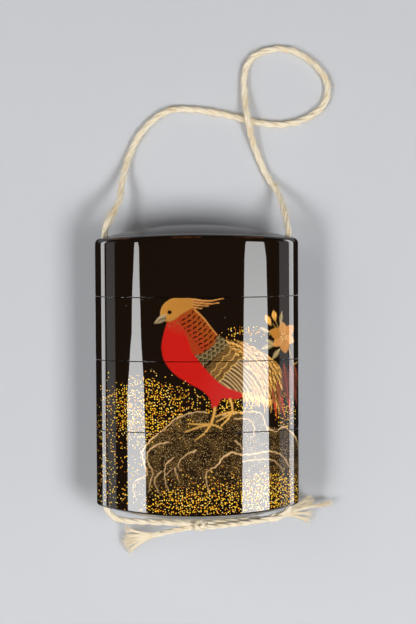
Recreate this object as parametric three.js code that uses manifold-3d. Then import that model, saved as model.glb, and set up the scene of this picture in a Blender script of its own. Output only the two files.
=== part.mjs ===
// An inro: a small flat case of four lacquered sections on a knotted cotton string.
// Frame: millimetres. +X across the width, +Y along the stack from the base to the lid,
// +Z out of the decorated front. The case lies on its back on the plane z = 0, and the
// origin is on that plane, under the middle of the case without its string.
import * as THREE from "three";
import { LoftGeometry } from "three/addons/geometries/LoftGeometry.js";
import { mergeVertices } from "three/addons/utils/BufferGeometryUtils.js";
import Module from "manifold-3d";

const wasm = await Module();
wasm.setup();

// ---------------------------------------------------------------- driving dimensions
const HALF_WIDTH = 30; // the section of the case is an ellipse, 60 by 24 mm
const HALF_DEPTH = 12;
const SIDES = 60; // flat faces round the section
const LOWER_HEIGHT = 22.4; // heights of the sections at the side ends
const MIDDLE_HEIGHT = 20.8;
const UPPER_HEIGHT = 18.7;
const LID_HEIGHT = 16.5;
const TOP_RISE = 4.5; // crown of the lid above its rim at the side ends
const TOP_FALL = 3.4; // from that crown down to the middle of the front rim
const BASE_RISE = 5; // the same two, under the base
const BASE_FALL = 2.8;
const EDGE_RADIUS = 1.2; // soft edge between the wall and either dome
const SEAM = 0.3; // gap between two sections
const RISER_HEIGHT = 6; // the lining that stands up out of each case
const RISER_WALL = 1.1;
const RISER_HALF_WIDTH = 24.2;
const RISER_HALF_DEPTH = 10.4;
const FIT = 0.3; // room round and over a riser in the recess that takes it
const FLOOR = 1.5;
const DOME_WALL = 2;
const CHANNEL_X = 27.2; // the two bores that the string runs in
const CHANNEL_RADIUS = 1.5;
const CHANNEL_SIDES = 12;
const STRING_RADIUS = 0.9;
const STRING_SIDES = 8;
const STRING_STEPS = 80;

// ---------------------------------------------------------------- levels along the stack
const STACK = LOWER_HEIGHT + MIDDLE_HEIGHT + UPPER_HEIGHT + LID_HEIGHT;
const TOP_RIM = (STACK + BASE_RISE - TOP_RISE) / 2;
const BASE_RIM = TOP_RIM - STACK;
const MIDDLE_BOTTOM = BASE_RIM + LOWER_HEIGHT;
const UPPER_BOTTOM = MIDDLE_BOTTOM + MIDDLE_HEIGHT;
const LID_BOTTOM = UPPER_BOTTOM + UPPER_HEIGHT;

// The lowest corners of the section are levelled with their neighbours, which leaves a
// narrow flat along the back for the case to lie on.
const FLAT_DEPTH = HALF_DEPTH * Math.cos((2 * Math.PI) / SIDES);
const MIDDLE_Z = FLAT_DEPTH;

const lacquer = new THREE.MeshStandardMaterial({ color: 0x17120e, roughness: 0.08, metalness: 0 });
const cotton = new THREE.MeshStandardMaterial({ color: 0xf1e4c9, roughness: 0.95, metalness: 0 });

// ---------------------------------------------------------------- solids
// A closed geometry as a manifold solid: only its corners are kept, and merged.
function solid(geometry) {
  const bare = new THREE.BufferGeometry();
  bare.setAttribute("position", geometry.getAttribute("position"));
  bare.setIndex(geometry.index);
  const merged = mergeVertices(bare, 1e-4);
  return new wasm.Manifold(
    new wasm.Mesh({
      numProp: 3,
      vertProperties: merged.getAttribute("position").array,
      triVerts: new Uint32Array(merged.index.array),
    }),
  );
}

// A manifold solid as a named mesh.
function piece(name, body, material) {
  const made = body.getMesh();
  const geometry = new THREE.BufferGeometry();
  geometry.setAttribute("position", new THREE.BufferAttribute(new Float32Array(made.vertProperties), 3));
  geometry.setIndex(new THREE.BufferAttribute(made.triVerts, 1));
  geometry.computeVertexNormals();
  const mesh = new THREE.Mesh(geometry, material);
  mesh.name = name;
  return mesh;
}

// One ring round the stack: an ellipse with the given half sizes, whose height along the
// stack is a number or a function of where on the section a corner is.
function ring(halfWidth, halfDepth, height) {
  return Array.from({ length: SIDES }, (_, i) => {
    const turn = (i / SIDES) * 2 * Math.PI;
    const x = halfWidth * Math.cos(turn);
    const z = Math.max(-halfDepth * Math.sin(turn), -FLAT_DEPTH);
    const y = typeof height === "function" ? height(x, z) : height;
    return new THREE.Vector3(x, y, MIDDLE_Z + z);
  });
}

// A solid through rings that are listed from the base towards the lid.
function stacked(rings) {
  return solid(new LoftGeometry(rings, { capStart: true, capEnd: true }));
}

// Height of a dome over its rim at the side ends: a parabola across the width, less a
// parabola across the depth.
function dome(rise, fall) {
  return (x, z) => rise * (1 - (x / HALF_WIDTH) ** 2) - fall * (z / HALF_DEPTH) ** 2;
}
const topDome = dome(TOP_RISE, TOP_FALL);
const baseDome = dome(BASE_RISE, BASE_FALL);

// Rings over a domed end from the wall to near the middle: first the quarter round of the
// edge, then shrinking ellipses. side is +1 at the lid and -1 at the base.
function domedEnd(rim, shape, side) {
  const corner = [0, 30, 60, 90].map((degrees) => {
    const lean = (degrees * Math.PI) / 180;
    const inset = EDGE_RADIUS * (1 - Math.cos(lean));
    const drop = EDGE_RADIUS * (1 - Math.sin(lean));
    return ring(HALF_WIDTH - inset, HALF_DEPTH - inset, (x, z) => rim + side * (shape(x, z) - drop));
  });
  const crown = [0.86, 0.7, 0.52, 0.32, 0.12].map((share) =>
    ring(
      share * (HALF_WIDTH - EDGE_RADIUS),
      share * (HALF_DEPTH - EDGE_RADIUS),
      (x, z) => rim + side * shape(x, z),
    ),
  );
  return [...corner, ...crown];
}

// The recess under a section, which takes the riser of the section below it.
function recess(bottom) {
  const halfWidth = RISER_HALF_WIDTH + FIT;
  const halfDepth = RISER_HALF_DEPTH + FIT;
  return stacked([
    ring(halfWidth, halfDepth, bottom - 1),
    ring(halfWidth, halfDepth, bottom + RISER_HEIGHT + FIT),
  ]);
}

// The riser that stands up out of a case, started a little inside the case.
function riser(top) {
  return stacked([
    ring(RISER_HALF_WIDTH, RISER_HALF_DEPTH, top - FLOOR),
    ring(RISER_HALF_WIDTH, RISER_HALF_DEPTH, top + RISER_HEIGHT),
  ]);
}

// The compartment of a case, open above. shares are the sizes of the rings that its floor
// is laid through: one ring for a level floor, and several for one that follows a dome.
function compartment(floor, shares, top) {
  const halfWidth = RISER_HALF_WIDTH - RISER_WALL;
  const halfDepth = RISER_HALF_DEPTH - RISER_WALL;
  return stacked([
    ...shares.map((share) => ring(share * halfWidth, share * halfDepth, floor)),
    ring(halfWidth, halfDepth, top + RISER_HEIGHT + 1),
  ]);
}

// The two bores for the string, right through the stack.
function withoutChannels(body) {
  let bored = body;
  for (const side of [-1, 1]) {
    const bore = new THREE.CylinderGeometry(CHANNEL_RADIUS, CHANNEL_RADIUS, 2 * STACK, CHANNEL_SIDES);
    bore.translate(side * CHANNEL_X, 0, MIDDLE_Z);
    bored = bored.subtract(solid(bore));
  }
  return bored;
}

// ---------------------------------------------------------------- the four sections
function lid() {
  const outside = stacked([
    ring(HALF_WIDTH, HALF_DEPTH, LID_BOTTOM),
    ...domedEnd(TOP_RIM, topDome, 1),
  ]);
  const halfWidth = RISER_HALF_WIDTH + FIT;
  const halfDepth = RISER_HALF_DEPTH + FIT;
  const under = (x, z) => TOP_RIM + topDome(x, z) - DOME_WALL;
  const hollow = stacked([
    ring(halfWidth, halfDepth, LID_BOTTOM - 1),
    ...[1, 0.8, 0.5, 0.2].map((share) => ring(share * halfWidth, share * halfDepth, under)),
  ]);
  return withoutChannels(outside.subtract(hollow));
}

function trayCase(bottom, height) {
  const top = bottom + height - SEAM;
  const wall = stacked([ring(HALF_WIDTH, HALF_DEPTH, bottom), ring(HALF_WIDTH, HALF_DEPTH, top)]);
  const floor = bottom + RISER_HEIGHT + FIT + FLOOR;
  return withoutChannels(
    wall.add(riser(top)).subtract(recess(bottom)).subtract(compartment(floor, [1], top)),
  );
}

function baseCase() {
  const top = BASE_RIM + LOWER_HEIGHT - SEAM;
  const outside = stacked([
    ...domedEnd(BASE_RIM, baseDome, -1).reverse(),
    ring(HALF_WIDTH, HALF_DEPTH, top),
  ]);
  const floor = (x, z) => BASE_RIM - baseDome(x, z) + DOME_WALL;
  return withoutChannels(outside.add(riser(top)).subtract(compartment(floor, [0.2, 0.5, 0.8, 1], top)));
}

// ---------------------------------------------------------------- the string
// One length of twisted cotton, from one face of the knot round through both channels and
// the long loop to the other face. The points were laid out by hand.
const stringRoute = [
  [-2.3, -45.2, 10.4],
  [-14.5, -44.8, 10.2],
  [-22.8, -44, 11.1],
  [-25.5, -42.7, 11.6],
  [-27, -40.5, 11.9],
  [-CHANNEL_X, -38, MIDDLE_Z],
  [-CHANNEL_X, 39, MIDDLE_Z],
  [-27.1, 42, 11.9],
  [-26, 45, 11],
  [-22.9, 51.2, 6.9],
  [-22.4, 54.8, 4.6],
  [-20.4, 63.4, 1.2],
  [-16.4, 71.2, 0.95],
  [-10.2, 76.8, 0.95],
  [-6.3, 78.1, 0.95],
  [2.8, 77.6, 0.95],
  [24.3, 73.4, 0.95],
  [32.4, 75, 0.95],
  [38.2, 79.2, 0.95],
  [39.5, 84.4, 0.95],
  [37.6, 89.1, 0.95],
  [30.3, 94.9, 0.95],
  [24.3, 96, 0.95],
  [18.2, 94.3, 0.95],
  [15.8, 92, 0.95],
  [14.6, 88.6, 0.95],
  [14.7, 81, 1.7],
  [15.5, 75, 3.15],
  [17.1, 68, 1.7],
  [20.4, 59.7, 0.95],
  [22.2, 56.4, 1.7],
  [24.5, 53, 3.6],
  [27.1, 42, 11.8],
  [CHANNEL_X, 39, MIDDLE_Z],
  [CHANNEL_X, -38, MIDDLE_Z],
  [27, -40.5, 11.9],
  [25.5, -42.6, 11.6],
  [22.9, -43.8, 11.2],
  [16.5, -44.2, 10.7],
  [3, -45.3, 10.4],
].map((point) => new THREE.Vector3(...point));

function string() {
  const path = new THREE.CatmullRomCurve3(stringRoute, false, "centripetal");
  path.arcLengthDivisions = 2000;
  const section = new THREE.Shape(
    Array.from({ length: STRING_SIDES }, (_, i) => {
      const turn = (i / STRING_SIDES) * 2 * Math.PI;
      return new THREE.Vector2(STRING_RADIUS * Math.cos(turn), STRING_RADIUS * Math.sin(turn));
    }),
  );
  return solid(
    new THREE.ExtrudeGeometry(section, { steps: STRING_STEPS, extrudePath: path, bevelEnabled: false }),
  );
}

// The knot: a core with two turns of string drawn tight across it, under the base.
function knot() {
  const centre = new THREE.Vector3(0.35, -45.95, 10.4);
  const core = new THREE.SphereGeometry(1, 12, 8);
  core.scale(2.1, 1.35, 1.7);
  let body = solid(core.translate(...centre));
  for (const lean of [-1, 1]) {
    const turn = new THREE.TorusGeometry(1.15, 0.5, 6, 14);
    turn.scale(1, 1, 1.4);
    turn.rotateY(Math.PI / 2);
    turn.rotateZ(lean * 0.6);
    turn.translate(centre.x, centre.y, centre.z);
    body = body.add(solid(turn));
  }
  return body;
}

// A tapering strand through points: a loft of small rings square to the curve.
function strand(points, startRadius, endRadius, sides, steps) {
  const path = new THREE.CatmullRomCurve3(points.map((point) => new THREE.Vector3(...point)));
  const frames = path.computeFrenetFrames(steps);
  const sections = path.getSpacedPoints(steps).map((middle, i) => {
    const radius = startRadius + ((endRadius - startRadius) * i) / steps;
    return Array.from({ length: sides }, (_, j) => {
      const turn = (j / sides) * 2 * Math.PI;
      return middle
        .clone()
        .addScaledVector(frames.normals[i], radius * Math.cos(turn))
        .addScaledVector(frames.binormals[i], radius * Math.sin(turn));
    });
  });
  return solid(new LoftGeometry(sections, { capStart: true, capEnd: true }));
}

// A loose end of the string: a short tail that opens into clumps of fibre, each of which
// runs from the end of the tail to its own tip.
function frayedEnd(tail, tips) {
  const root = tail[tail.length - 1];
  const before = tail[tail.length - 2];
  let body = strand(tail, STRING_RADIUS, STRING_RADIUS, STRING_SIDES, 6);
  for (const tip of tips) {
    const middle = [0, 1, 2].map((axis) => (root[axis] + tip.at[axis]) / 2 + tip.bow[axis]);
    body = body.add(strand([before, root, middle, tip.at], 0.55, tip.radius, 6, 6));
  }
  return body;
}

const leftTail = [
  [-2.6, -47.2, 9.6],
  [-5.5, -47.6, 8.4],
  [-8.5, -48.3, 7.2],
  [-11, -49, 6.2],
];
const leftTips = [
  { at: [-21.3, -48.5, 3.6], bow: [0, -0.4, 0.6], radius: 0.6 },
  { at: [-22.4, -50.6, 2.4], bow: [0, -0.2, 0.4], radius: 0.9 },
  { at: [-22.9, -52.2, 1.5], bow: [0, -0.1, 0.3], radius: 1.1 },
  { at: [-22.4, -53.4, 1.2], bow: [0, 0, 0.2], radius: 0.8 },
  { at: [-21.8, -54.9, 0.8], bow: [0.4, 0, 0.2], radius: 0.4 },
];
const rightTail = [
  [3.4, -47.2, 9.8],
  [9, -46.9, 9.3],
  [14.5, -46.1, 9.2],
  [19.5, -44.9, 9],
  [23.5, -43.6, 8.4],
];
const rightTips = [
  { at: [33.6, -38.4, 5], bow: [0.8, -0.6, 0.8], radius: 0.8 },
  { at: [35.2, -40.2, 4], bow: [0, -0.2, 0.6], radius: 0.8 },
  { at: [41.2, -41.3, 2.4], bow: [-0.6, -0.6, 0.6], radius: 0.4 },
  { at: [36.4, -44.4, 1.6], bow: [0, -0.2, 0.5], radius: 1 },
  { at: [33.9, -46.1, 1.2], bow: [0, -0.4, 0.4], radius: 0.7 },
];

// ---------------------------------------------------------------- the whole object
const inro = new THREE.Group();
inro.name = "inro";
inro.add(
  piece("lid", lid(), lacquer),
  piece("upper_case", trayCase(UPPER_BOTTOM, UPPER_HEIGHT), lacquer),
  piece("middle_case", trayCase(MIDDLE_BOTTOM, MIDDLE_HEIGHT), lacquer),
  piece("lower_case", baseCase(), lacquer),
  piece("cord", string(), cotton),
  piece("knot", knot(), cotton),
  piece("frayed_end_left", frayedEnd(leftTail, leftTips), cotton),
  piece("frayed_end_right", frayedEnd(rightTail, rightTips), cotton),
);
export default inro;
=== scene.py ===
"""An inro, a small lacquered carrying case of four stacked sections on a knotted cotton string.

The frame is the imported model's, in metres: +X across the width, +Y from the base to the lid, +Z out of
the decorated front. The case lies on its back on z = 0. Sizes in this script are millimetres until a
mesh is made.
"""

import math

import bpy
import numpy as np
from mathutils import Matrix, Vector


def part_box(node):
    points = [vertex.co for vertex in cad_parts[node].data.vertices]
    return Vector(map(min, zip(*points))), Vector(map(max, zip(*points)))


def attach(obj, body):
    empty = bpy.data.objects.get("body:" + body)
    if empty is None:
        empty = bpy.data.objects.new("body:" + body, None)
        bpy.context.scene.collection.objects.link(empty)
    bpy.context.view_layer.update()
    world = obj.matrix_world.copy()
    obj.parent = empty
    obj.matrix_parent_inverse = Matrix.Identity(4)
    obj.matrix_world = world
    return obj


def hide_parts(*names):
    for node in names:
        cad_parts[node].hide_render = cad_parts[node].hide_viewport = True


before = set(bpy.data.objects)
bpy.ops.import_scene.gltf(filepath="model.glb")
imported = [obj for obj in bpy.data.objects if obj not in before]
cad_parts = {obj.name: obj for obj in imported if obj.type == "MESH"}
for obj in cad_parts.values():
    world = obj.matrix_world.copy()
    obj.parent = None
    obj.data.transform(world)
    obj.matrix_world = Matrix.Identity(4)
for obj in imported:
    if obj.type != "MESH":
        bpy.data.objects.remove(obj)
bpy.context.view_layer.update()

# ------------------------------------------------------------------------------------------ the studio
# The case is seen from almost straight above. Two long bent strips of light, two dim grey cards and two
# thin lights beside it give black lacquer clean bright bands and leave it black between them. The floor
# is a sheet of pale paper, and a broad soft light that the lacquer doesn't mirror fills in its shadows.

MM = 0.001
VIEW_CENTRE = np.array([3.3, 17.95, 12.0])
VIEW_DISTANCE = 634.0
VIEW_HEIGHT = 184.7  # what the long side of the picture takes in, at the view centre
VIEW_TILT = math.radians(3.4)  # from straight above, to the lid's side
VIEW_ROLL = math.radians(0.3)
SENSOR = 36.0
STRIP_REACH = 0.9  # metres from the middle of the case to the strips and the cards


def linear(colour):
    """The linear red, green, blue and alpha of an sRGB colour written as a hex string."""
    parts = np.array([int(colour[i : i + 2], 16) for i in (0, 2, 4)]) / 255
    light = np.where(parts <= 0.04045, parts / 12.92, ((parts + 0.055) / 1.055) ** 2.4)
    return (*light.tolist(), 1.0)


def node(tree, kind, inputs=None, out=None, **settings):
    """Adds a shader node: settings are its properties, inputs its sockets' values or what feeds them.

    It gives back the output that out names, or the node.
    """
    made = tree.nodes.new("ShaderNode" + kind)
    for name, value in settings.items():
        setattr(made, name, value)
    for key, value in (inputs or {}).items():
        if isinstance(value, bpy.types.NodeSocket):
            tree.links.new(value, made.inputs[key])
        else:
            made.inputs[key].default_value = value
    return made if out is None else made.outputs[out]


def material(name):
    """An empty node material and its tree, with every node cleared from the tree."""
    made = bpy.data.materials.new(name)
    made.use_nodes = True
    made.node_tree.nodes.clear()
    return made, made.node_tree


def camera():
    """Right, up and back of the camera are the columns of its matrix: a tilt about X, then the roll."""
    data = bpy.data.cameras.new("camera")
    data.sensor_width = SENSOR
    data.lens = SENSOR * VIEW_DISTANCE / VIEW_HEIGHT
    made = bpy.data.objects.new("camera", data)
    tilt, roll = VIEW_TILT, VIEW_ROLL
    back = np.array([0, math.sin(tilt), math.cos(tilt)])
    level, rise = np.array([1, 0, 0]), np.array([0, math.cos(tilt), -math.sin(tilt)])
    right = level * math.cos(roll) - rise * math.sin(roll)
    up = level * math.sin(roll) + rise * math.cos(roll)
    matrix = np.eye(4)
    matrix[:3, :3] = np.stack([right, up, back], axis=1)
    matrix[:3, 3] = (VIEW_CENTRE + VIEW_DISTANCE * back) * MM
    made.matrix_world = Matrix(matrix.tolist())
    bpy.context.scene.collection.objects.link(made)
    bpy.context.scene.camera = made


def soft_box(name, ends, radiance):
    """A glowing strip bent round the case, dimmer towards the lid's end, as in a long light tent.

    ends are rows of (y, lean from, lean to): place along the case in metres, and the angles off the
    vertical that the strip fills there, in degrees. Its points are (r sin(lean), y, r cos(lean)).
    """
    full_at, dim_at, dimmed = -0.17, 0.02, 0.6
    y, lean_from, lean_to = np.array(ends, float).T
    lean = np.radians(lean_from[:, None] + np.linspace(0, 1, 13) * (lean_to - lean_from)[:, None])
    across, rise = STRIP_REACH * np.sin(lean), STRIP_REACH * np.cos(lean)
    points = np.stack([across, y[:, None] + 0 * lean, rise], axis=-1)
    index = np.arange(lean.size).reshape(lean.shape)
    quads = np.stack([index[:-1, :-1], index[:-1, 1:], index[1:, 1:], index[1:, :-1]], axis=-1)
    mesh = bpy.data.meshes.new(name)
    mesh.from_pydata(points.reshape(-1, 3).tolist(), [], quads.reshape(-1, 4).tolist())
    glow, tree = material(name)
    place = node(tree, "SeparateXYZ", {0: node(tree, "TexCoord", out="Object")}, "Y")
    fade = {"Value": place, "From Min": full_at, "From Max": dim_at, "To Min": radiance}
    fade = node(tree, "MapRange", fade | {"To Max": radiance * dimmed}, 0)
    light = node(tree, "Emission", {"Strength": fade}, "Emission")
    node(tree, "OutputMaterial", {"Surface": light})
    mesh.materials.append(glow)
    made = bpy.data.objects.new(name, mesh)
    bpy.context.scene.collection.objects.link(made)
    made.visible_camera = False


def edge_light(name, x, z_from, z_to, radiance):
    """A low upright strip beside the case, turned towards it, that lights only the lacquer's sides.

    Its place is in millimetres. An area light's radiance is its power over pi times its area.
    """
    middle, length = -50, 260
    data = bpy.data.lights.new(name, "AREA")
    data.shape = "RECTANGLE"
    data.size, data.size_y = length * MM, (z_to - z_from) * MM
    data.energy = radiance * math.pi * data.size * data.size_y
    made = bpy.data.objects.new(name, data)
    away = np.array([math.copysign(1.0, x), 0, 0])
    along = np.array([0, 1.0, 0])
    matrix = np.eye(4)
    matrix[:3, :3] = np.stack([along, np.cross(away, along), away], axis=1)
    matrix[:3, 3] = np.array([x, middle, (z_from + z_to) / 2]) * MM
    made.matrix_world = Matrix(matrix.tolist())
    bpy.context.scene.collection.objects.link(made)
    made.visible_camera = made.visible_diffuse = False
    made.light_linking.receiver_collection = lacquered


def fill_light(place, size, power):
    """A broad soft light over the lid's end, aimed at the middle, that the lacquer doesn't mirror.

    place and size are in metres, and power in watts.
    """
    data = bpy.data.lights.new("fill_light", "AREA")
    data.size, data.energy = size, power
    made = bpy.data.objects.new("fill_light", data)
    back = np.array(place) / np.linalg.norm(place)
    right = np.cross([0, 1.0, 0], back)
    right /= np.linalg.norm(right)
    matrix = np.eye(4)
    matrix[:3] = np.stack([right, np.cross(back, right), back, place], axis=1)
    made.matrix_world = Matrix(matrix.tolist())
    bpy.context.scene.collection.objects.link(made)
    made.visible_camera = made.visible_glossy = False


def paper_floor(half):
    """A sheet of pale paper, in metres, whose strips beside the case are painted dark to the lacquer's mirror
    only: a painted shade that shows only in its reflections.

    The dark strips begin from 29 to 33 mm off the middle line, and end from 45 to 51 mm along it.
    """
    mesh = bpy.data.meshes.new("floor")
    corners = [(-half, -half, 0), (half, -half, 0), (half, half, 0), (-half, half, 0)]
    mesh.from_pydata(corners, [], [(0, 1, 2, 3)])
    floor = bpy.data.objects.new("floor", mesh)
    paper, tree = material("matt_paper")
    place = node(tree, "SeparateXYZ", {0: node(tree, "TexCoord", out="Object")})
    # Painted shade: beside the case the floor turns dark to glossy rays only, so that the lacquer mirrors it
    # as shade.
    dark = node(tree, "LightPath", out="Is Glossy Ray")
    for axis, plain, full in (("X", 0.029, 0.033), ("Y", 0.051, 0.045)):
        reach = node(tree, "Math", {0: place.outputs[axis]}, 0, operation="ABSOLUTE")
        strip = node(tree, "MapRange", {"Value": reach, "From Min": plain, "From Max": full}, 0)
        dark = node(tree, "Math", {0: dark, 1: strip}, 0, operation="MULTIPLY")
    tone = node(tree, "Mix", {0: dark, 6: linear("D4D6DA"), 7: linear("1C1C1C")}, 2, data_type="RGBA")
    sheet = {"Base Color": tone, "Roughness": 0.9, "Specular IOR Level": 0.2}
    node(tree, "OutputMaterial", {"Surface": node(tree, "BsdfPrincipled", sheet, "BSDF")})
    mesh.materials.append(paper)
    bpy.context.scene.collection.objects.link(floor)


def studio():
    """The camera, a dim room, and the lights round the case on its floor.

    The broad strips narrow towards the lid, and round off where they end over it.
    """
    camera()
    bpy.context.scene.view_settings.view_transform = "Standard"
    world = bpy.data.worlds.new("studio")
    world.use_nodes = True
    world.node_tree.nodes["Background"].inputs["Color"].default_value = (0.012, 0.011, 0.011, 1)
    bpy.context.scene.world = world
    left = [(-0.42, -43.2, -28), (-0.13, -43.2, -28.2), (-0.1, -43.1, -28.9), (-0.087, -42.6, -29.2)]
    left += [(-0.073, -41, -29.7), (-0.059, -39.8, -30.6), (-0.048, -38.4, -31), (-0.03, -38, -31.3)]
    left += [(-0.016, -37.5, -31.7), (-0.003, -36.6, -31.9), (0.012, -35.8, -32), (0.019, -35, -33.6)]
    right = [(-0.42, 22.8, 44.8), (-0.16, 23, 44.6), (-0.05, 24.2, 43.7), (0.004, 25, 42.2)]
    right += [(0.014, 25.6, 40.4), (0.018, 26.8, 38.8), (0.02, 28.8, 36.6)]
    soft_box("soft_box_left", left, 13)
    soft_box("soft_box_right", right, 13)
    soft_box("grey_card_left", [(-0.5, -76, -58), (0.4, -76, -58)], 1.2)
    soft_box("grey_card_right", [(-0.5, 59, 79), (0.4, 59, 79)], 1.2)
    edge_light("edge_light_left", -100, 9, 28, 7)
    edge_light("edge_light_right", 75, 6, 23.5, 6.5)
    fill_light((-0.6, 0.38, 0.6), 0.5, 1.3)
    paper_floor(1.3)


lacquered = bpy.data.collections.new("lacquered")
studio()

# ------------------------------------------------------------------------------------------ the string
# One length of undyed cotton, three loosely twisted plies, about 1.8 mm thick. It is threaded up one
# channel, round the loop, where it crosses over itself, and down the other, and tied under the base.

STRING_DIAMETER = 1.8
CHANNEL_X = 27.2
MIDDLE_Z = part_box("lid")[1].z / MM - 12
PLY_RADIUS = 0.53
PLY_OFFSET = 0.44  # from the string's middle to the middle of a ply
PLY_PITCH = 12.0  # length of one turn of the twist
LYING = 1.06  # height of the string's middle where it lies on the floor
STRING_ROUTE = [
    (-2.3, -45.2, 10.4), (-14.5, -44.8, 10.2), (-22.8, -44, 11.1), (-25.5, -42.7, 11.6), (-27, -40.5, 11.9),
    (-CHANNEL_X, -38, MIDDLE_Z), (-CHANNEL_X, 39, MIDDLE_Z), (-27.1, 42, 11.9), (-26, 45, 11),
    (-22.9, 51.2, 6.9), (-22.4, 54.8, 4.6), (-20.4, 63.4, 1.2), (-16.4, 71.2, LYING), (-10.2, 76.8, LYING),
    (-6.3, 78.1, LYING), (2.8, 77.6, LYING), (24.3, 73.4, LYING), (32.4, 75, LYING), (38.2, 79.2, LYING),
    (39.5, 84.4, LYING), (37.6, 89.1, LYING), (30.3, 94.9, LYING), (24.3, 96, LYING), (18.2, 94.3, LYING),
    (15.8, 92, LYING), (14.6, 88.6, LYING), (14.7, 81, 1.7), (15.5, 75, 3.15), (17.1, 68, 1.7),
    (20.4, 59.7, LYING), (22.2, 56.4, 1.7), (24.5, 53, 3.6), (27.1, 42, 11.8), (CHANNEL_X, 39, MIDDLE_Z),
    (CHANNEL_X, -38, MIDDLE_Z), (27, -40.5, 11.9), (25.5, -42.6, 11.6), (22.9, -43.8, 11.2),
    (16.5, -44.2, 10.7), (3, -45.3, 10.4),
]


def smooth_path(points, step):
    """Points every step along a centripetal Catmull-Rom curve through the given points.

    Each span is a cubic with the curve's non-uniform end slopes, its knots set apart by the square root
    of the distance between points. The dense curve is then resampled by its length.
    """
    inner = np.array(points, float)
    first, last = 2 * inner[0] - inner[1], 2 * inner[-1] - inner[-2]
    p = np.vstack([first, inner, last])
    gap = np.sqrt(np.linalg.norm(np.diff(p, axis=0), axis=1))[:, None]
    before, here, after = gap[:-2], gap[1:-1], gap[2:]
    p0, p1, p2, p3 = p[:-3], p[1:-2], p[2:-1], p[3:]
    slope1 = here * ((p1 - p0) / before - (p2 - p0) / (before + here) + (p2 - p1) / here)
    slope2 = here * ((p2 - p1) / here - (p3 - p1) / (here + after) + (p3 - p2) / after)
    t = np.linspace(0, 1, 60, endpoint=False)[None, :, None]
    a = 2 * p1 - 2 * p2 + slope1 + slope2
    b = -3 * p1 + 3 * p2 - 2 * slope1 - slope2
    dense = a[:, None] * t**3 + b[:, None] * t**2 + slope1[:, None] * t + p1[:, None]
    dense = np.vstack([dense.reshape(-1, 3), inner[-1:]])
    run = np.concatenate([[0], np.cumsum(np.linalg.norm(np.diff(dense, axis=0), axis=1))])
    stops = np.linspace(0, run[-1], max(2, int(round(run[-1] / step)) + 1))
    return np.stack([np.interp(stops, run, dense[:, i]) for i in range(3)], axis=1), stops


def across(path, up=(0.0, 0.0, 1.0)):
    """Two unit vectors square to each tangent of the paths, the first of them square to up as well.

    path is (..., points, 3), and runs nowhere straight along up.
    """
    tangent = np.gradient(path, axis=-2)
    tangent /= np.linalg.norm(tangent, axis=-1, keepdims=True)
    level = np.cross(tangent, up)
    level /= np.linalg.norm(level, axis=-1, keepdims=True)
    return level, np.cross(tangent, level)


def tubes(paths, radius, sides, up=(0.0, 0.0, 1.0)):
    """Rings of points round each path: (paths, rings, sides, 3). radius broadcasts over them."""
    level, square = across(paths, up)
    turn = np.linspace(0, 2 * math.pi, sides, endpoint=False)[:, None]
    ring = np.cos(turn) * level[..., None, :] + np.sin(turn) * square[..., None, :]
    return paths[..., None, :] + np.asarray(radius)[..., None, None] * ring


def skin(name, grids):
    """One mesh object from grids of points, (grids, rows, columns, 3) in millimetres.

    Each grid closes round its columns, and both its ends are closed by a fan to the middle of the end
    row. Columns run clockwise and rows away, as seen from outside, so faces point outwards.
    """
    count, rows, columns, _ = grids.shape
    index = np.arange(count * rows * columns).reshape(count, rows, columns)
    low, high = index[:, :-1], index[:, 1:]
    quads = np.stack([low, np.roll(low, -1, 2), np.roll(high, -1, 2), high], axis=-1).reshape(-1, 4)
    start = index.size + np.arange(count)[:, None] + np.zeros(columns, int)
    end = start + count
    first, final = index[:, 0], index[:, -1]
    fans = np.concatenate(
        [
            np.stack([start, np.roll(first, -1, 1), first], axis=-1).reshape(-1, 3),
            np.stack([end, final, np.roll(final, -1, 1)], axis=-1).reshape(-1, 3),
        ]
    )
    corners = np.concatenate([grids.reshape(-1, 3), grids[:, 0].mean(1), grids[:, -1].mean(1)]) * MM
    mesh = bpy.data.meshes.new(name)
    mesh.vertices.add(len(corners))
    mesh.vertices.foreach_set("co", corners.astype(np.float32).ravel())
    mesh.loops.add(quads.size + fans.size)
    mesh.loops.foreach_set("vertex_index", np.concatenate([quads.ravel(), fans.ravel()]).astype(np.int32))
    mesh.polygons.add(len(quads) + len(fans))
    starts = np.concatenate([np.arange(len(quads)) * 4, quads.size + np.arange(len(fans)) * 3])
    mesh.polygons.foreach_set("loop_start", starts.astype(np.int32))
    mesh.update(calc_edges=True)
    mesh.validate()
    mesh.shade_smooth()
    made = bpy.data.objects.new(name, mesh)
    bpy.context.scene.collection.objects.link(made)
    return made


def attribute(piece, name, values):
    """Stores one number or one vector for each vertex of a piece."""
    kind = "FLOAT" if values.ndim == 1 else "FLOAT_VECTOR"
    layer = piece.data.attributes.new(name, kind, "POINT")
    layer.data.foreach_set("value" if values.ndim == 1 else "vector", values.astype(np.float32).ravel())


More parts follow.
